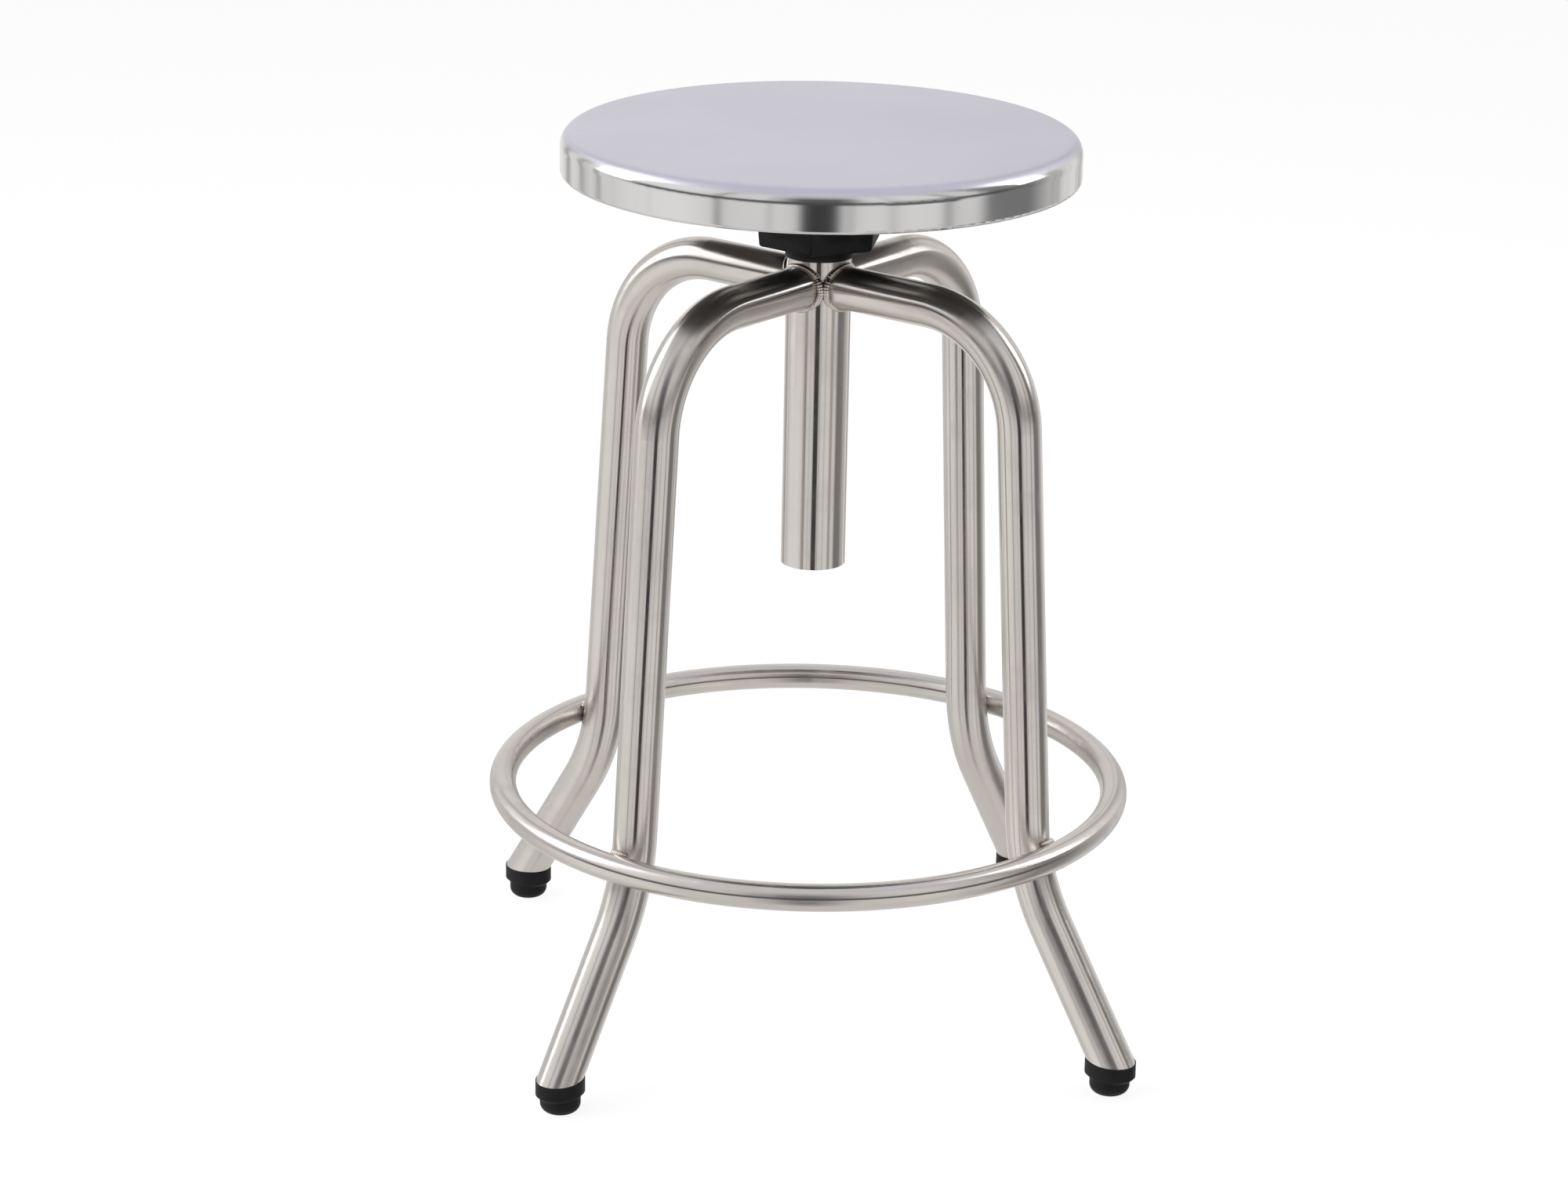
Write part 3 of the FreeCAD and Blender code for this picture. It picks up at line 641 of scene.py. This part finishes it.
def make_flange_screws():
    """Four pan-head screws with a cross recess, heads down under the flange."""
    low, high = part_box("flange_screws")
    head = 4.75 * MM
    tall = 3.0 * MM
    shank = 2.5 * MM
    deep = 1.7 * MM
    mouth = (3.1 * MM, 0.68 * MM)
    tip = (1.15 * MM, 0.25 * MM)
    segments = 48
    reach = (high.x - head) * math.sqrt(2)
    profile = [(head * across, low.z + tall * up) for across, up in CROWN]
    profile += [(shank, low.z + tall), (shank, high.z), (0, high.z)]
    mesh = bmesh.new()
    recess = bmesh.new()
    for azimuth in AZIMUTHS:
        turn = Matrix.Rotation(math.radians(azimuth), 4, "Z")
        stand = turn @ Matrix.Translation((reach, 0, 0))
        add_turned(mesh, profile, segments, stand)
        # The recess narrows from outside the head to its bottom inside.
        outside = low.z - deep
        bottom = low.z + deep
        add_rings(recess, [
            circle(0, outside, place_at=stand),
            cross(*mouth, outside, stand),
            cross(*tip, bottom, stand),
            circle(0, bottom, place_at=stand),
        ])
    bmesh.ops.recalc_face_normals(recess, faces=recess.faces)
    piece = new_piece("cross_recess_screws", mesh, "seat", MATERIALS["plain_steel"])
    cut_away(piece, link_mesh("recess", recess))
    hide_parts("flange_screws")
    smooth_by_angle(piece, 35)


def make_end_screw():
    """The hexagon screw in the spindle's end, its corners bevelled to a round, slightly dished face."""
    low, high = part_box("spindle_end_screw")
    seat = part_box("spindle_end_washer")[0].z
    flat = high.y
    face = 0.95 * flat
    slope = math.tan(math.radians(30))
    dish = low.z + 0.3 * MM
    shank = 4.0 * MM
    bevel = 0.8 * MM
    bevelled = []
    seated = []
    for step in range(CIRCLE_STEPS):
        angle = 2 * math.pi * step / CIRCLE_STEPS
        side = angle % math.radians(60) - math.radians(30)
        reach = flat / math.cos(side)
        direction = Vector((math.cos(angle) * reach, math.sin(angle) * reach, 0))
        bevelled.append(direction + Vector((0, 0, low.z + (reach - face) * slope)))
        seated.append(direction + Vector((0, 0, seat)))
    rings = [circle(0, dish), circle(0.8 * face, dish), circle(face, low.z), bevelled, seated]
    rings += [circle(shank, seat), circle(shank, high.z - bevel)]
    rings += [circle(shank - bevel, high.z), circle(0, high.z)]
    mesh = bmesh.new()
    add_rings(mesh, rings)
    piece = new_piece("hexagon_end_screw", mesh, "seat", MATERIALS["plain_steel"])
    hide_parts("spindle_end_screw")
    smooth_by_angle(piece, 25)


# Studio

def make_floor():
    """A pale floor that reads as plain white to the camera and still takes the stool's soft shadow."""
    half_width = 12
    glow = 1.12
    glow_share = 0.8
    mesh = bmesh.new()
    bmesh.ops.create_grid(mesh, x_segments=1, y_segments=1, size=half_width)
    floor = link_mesh("floor", mesh)
    floor.visible_glossy = False
    material = bpy.data.materials.new("pale_floor")
    material.use_nodes = True
    tree = material.node_tree
    tree.nodes.clear()
    paper = grain(tree, 30, 4.0)
    colour = mix_colours(tree, paper, (0.80, 0.80, 0.80, 1), (0.83, 0.83, 0.83, 1))
    matt = add_node(tree, "BsdfDiffuse", {"Color": colour}).outputs[0]
    white = add_node(tree, "Emission", {"Color": (1, 1, 1, 1), "Strength": glow}).outputs[0]
    share = multiply(tree, add_node(tree, "LightPath").outputs["Is Camera Ray"], glow_share)
    mixed = add_node(tree, "MixShader", {0: share, 1: matt, 2: white}).outputs[0]
    # From below the floor is clear, so that the stool can be looked at from underneath.
    below = add_node(tree, "NewGeometry").outputs["Backfacing"]
    clear = add_node(tree, "BsdfTransparent").outputs[0]
    mixed = add_node(tree, "MixShader", {0: below, 1: mixed, 2: clear}).outputs[0]
    add_node(tree, "OutputMaterial", {"Surface": mixed})
    floor.data.materials.append(material)


# Brightness of the studio's walls round the stool, by degrees to the right of the camera, as
# polished steel mirrors them: white sweeps with dark gaps between, and the dark camera in front.
STUDIO_WALLS = (
    (-180, 0.90), (-150, 0.94), (-146, 0.36), (-142, 0.92), (-104, 0.86), (-84, 1.0), (-62, 1.0),
    (-50, 0.90), (-47.5, 0.88), (-45.5, 0.16), (-42.5, 0.84), (-20, 0.90), (-10, 0.82), (-7.5, 0.04),
    (7, 0.05), (10, 0.84), (20, 0.90), (54, 0.94), (57, 0.18), (60.5, 0.84), (72, 0.86), (79, 0.24),
    (104, 0.24), (120, 0.66), (138, 0.92), (154, 0.90), (157, 0.32), (160, 0.90), (180, 0.90),
)
WALL_TINT = (1, 0.985, 0.965)
STREAK_COLOUR = (0.2, 0.195, 0.19, 1)
OVERHEAD_COLOUR = (0.72, 0.73, 0.77, 1)
ROOM_LOW = (0.13, 0.13, 0.135, 1)
ROOM_HIGH = (0.84, 0.84, 0.85, 1)
TABLE_EDGE = (0.09, 0.09, 0.095, 1)
GROUND_COLOUR = (0.78, 0.76, 0.74, 1)
FILL_LEFT = (0.52, 0.52, 0.52, 1)
FILL_RIGHT = (0.24, 0.24, 0.25, 1)


def make_walls(tree, parts, level):
    """The walls' colour round the stool, with narrow streaks from stands, cables and panel edges."""
    angle = add_node(tree, "Math", {0: parts.outputs["Y"], 1: parts.outputs["X"]}, operation="ARCTAN2")
    around = spread(tree, angle.outputs[0], 0, 1, -math.pi, math.pi)
    walls = add_node(tree, "ValToRGB", {0: around})
    ramp = walls.color_ramp
    while len(ramp.elements) > 1:
        ramp.elements.remove(ramp.elements[0])
    for index, (degrees, brightness) in enumerate(STUDIO_WALLS):
        position = (degrees + 180) / 360
        element = ramp.elements[0] if index == 0 else ramp.elements.new(position)
        element.position = position
        element.color = shade(WALL_TINT, brightness)
    streaks = add_node(tree, "TexNoise", {"Vector": level, "Scale": 7.0, "Detail": 3.0}).outputs[0]
    shadow = spread(tree, streaks, 0.6, 0, 0.35, 0.46)
    return mix_colours(tree, shadow, walls.outputs[0], STREAK_COLOUR)


def make_world():
    """A studio for polished steel to mirror, an even fill for the rest, and white behind it all."""
    world = bpy.data.worlds.new("studio")
    bpy.context.scene.world = world
    world.use_nodes = True
    tree = world.node_tree
    tree.nodes.clear()
    direction = add_node(tree, "TexCoord").outputs["Generated"]
    turned = add_node(tree, "Mapping", {"Vector": direction, "Rotation": (0, 0, -TOWARDS_CAMERA)})
    parts = add_node(tree, "SeparateXYZ", {0: turned.outputs[0]})
    flat = add_node(tree, "Mapping", {"Vector": turned.outputs[0], "Scale": (1, 1, 0)}).outputs[0]
    level = add_node(tree, "VectorMath", {0: flat}, operation="NORMALIZE").outputs[0]
    # Height is the sine of the elevation, ahead the cosine of the angle from the camera.
    height = parts.outputs["Z"]
    ahead = add_node(tree, "SeparateXYZ", {0: level}).outputs["X"]
    overhead = spread(tree, height, 0, 1, 0.72, 0.88)
    studio = mix_colours(tree, overhead, make_walls(tree, parts, level), OVERHEAD_COLOUR)
    # The unlit room behind the camera, paler towards its ceiling.
    room = mix_colours(tree, spread(tree, height, 0, 1, 0.5, 0.9), ROOM_LOW, ROOM_HIGH)
    inside = multiply(
        tree,
        spread(tree, ahead, 0, 1, 0.93, 0.99),
        spread(tree, height, 0, 1, 0.0, 0.15),
    )
    studio = mix_colours(tree, inside, studio, room)
    # The dark far edge of the table, all across the front.
    edge = multiply(
        tree,
        spread(tree, ahead, 0, 1, -0.25, 0.15),
        spread(tree, height, 0, 1, -0.07, 0.02),
        spread(tree, height, 1, 0, 0.11, 0.3),
    )
    studio = mix_colours(tree, edge, studio, TABLE_EDGE)
    ground = spread(tree, height, 1, 0, -0.85, -0.6)
    studio = mix_colours(tree, ground, studio, GROUND_COLOUR)
    across = spread(tree, parts.outputs["Y"], 0, 1, -1, 1)
    fill = mix_colours(tree, across, FILL_LEFT, FILL_RIGHT)
    path = add_node(tree, "LightPath")
    colour = mix_colours(tree, path.outputs["Is Glossy Ray"], fill, studio)
    colour = mix_colours(tree, path.outputs["Is Camera Ray"], colour, (1, 1, 1, 1))
    background = add_node(tree, "Background", {"Color": colour, "Strength": 1.0})
    add_node(tree, "OutputWorld", {"Surface": background.outputs[0]})


# Each lamp's degrees to the right of the camera, degrees up, distance, width and height in metres,
# power in watts, and whether polished steel mirrors it.
LAMPS = (
    ("left_softbox", -100, 30, 2.3, 0.9, 1.5, 14, True),
    ("right_softbox", 104, 34, 2.3, 0.7, 1.3, 8, True),
    ("left_fill", -60, 24, 2.3, 1.0, 1.7, 22, False),
    ("top_softbox", 170, 74, 2.1, 1.6, 1.6, 14, False),
)


def make_lamps():
    """Rectangular lamps, all aimed at the middle of the stool."""
    target = Vector((0, 0, 0.3))
    for name, azimuth, elevation, distance, width, tall, power, mirrored in LAMPS:
        turn = TOWARDS_CAMERA + math.radians(azimuth)
        lift = math.radians(elevation)
        level = math.cos(lift)
        away = Vector((math.cos(turn) * level, math.sin(turn) * level, math.sin(lift)))
        lamp = bpy.data.lights.new(name, "AREA")
        lamp.shape = "RECTANGLE"
        lamp.size = width
        lamp.size_y = tall
        lamp.energy = power
        holder = bpy.data.objects.new(name, lamp)
        bpy.context.scene.collection.objects.link(holder)
        holder.location = target + away * distance
        holder.rotation_euler = away.to_track_quat("Z", "Y").to_euler()
        holder.visible_camera = False
        holder.visible_glossy = mirrored


def make_camera():
    data = bpy.data.cameras.new("camera")
    data.sensor_width = SENSOR_WIDTH
    data.lens = CAMERA_LENS
    camera = bpy.data.objects.new("camera", data)
    bpy.context.scene.collection.objects.link(camera)
    heading = Matrix.Rotation(CAMERA_HEADING, 4, "Z")
    pitch = Matrix.Rotation(math.pi / 2 - CAMERA_PITCH, 4, "X")
    roll = Matrix.Rotation(CAMERA_ROLL, 4, "Z")
    camera.matrix_world = Matrix.Translation(CAMERA_PLACE) @ heading @ pitch @ roll
    bpy.context.scene.camera = camera


make_camera()
dress_nodes()
make_column_welds()
make_ring_welds()
make_hub_weld()
make_threaded_spindle()
make_flange_screws()
make_end_screw()
make_floor()
make_world()
make_lamps()
bpy.context.scene.view_settings.view_transform = "Standard"
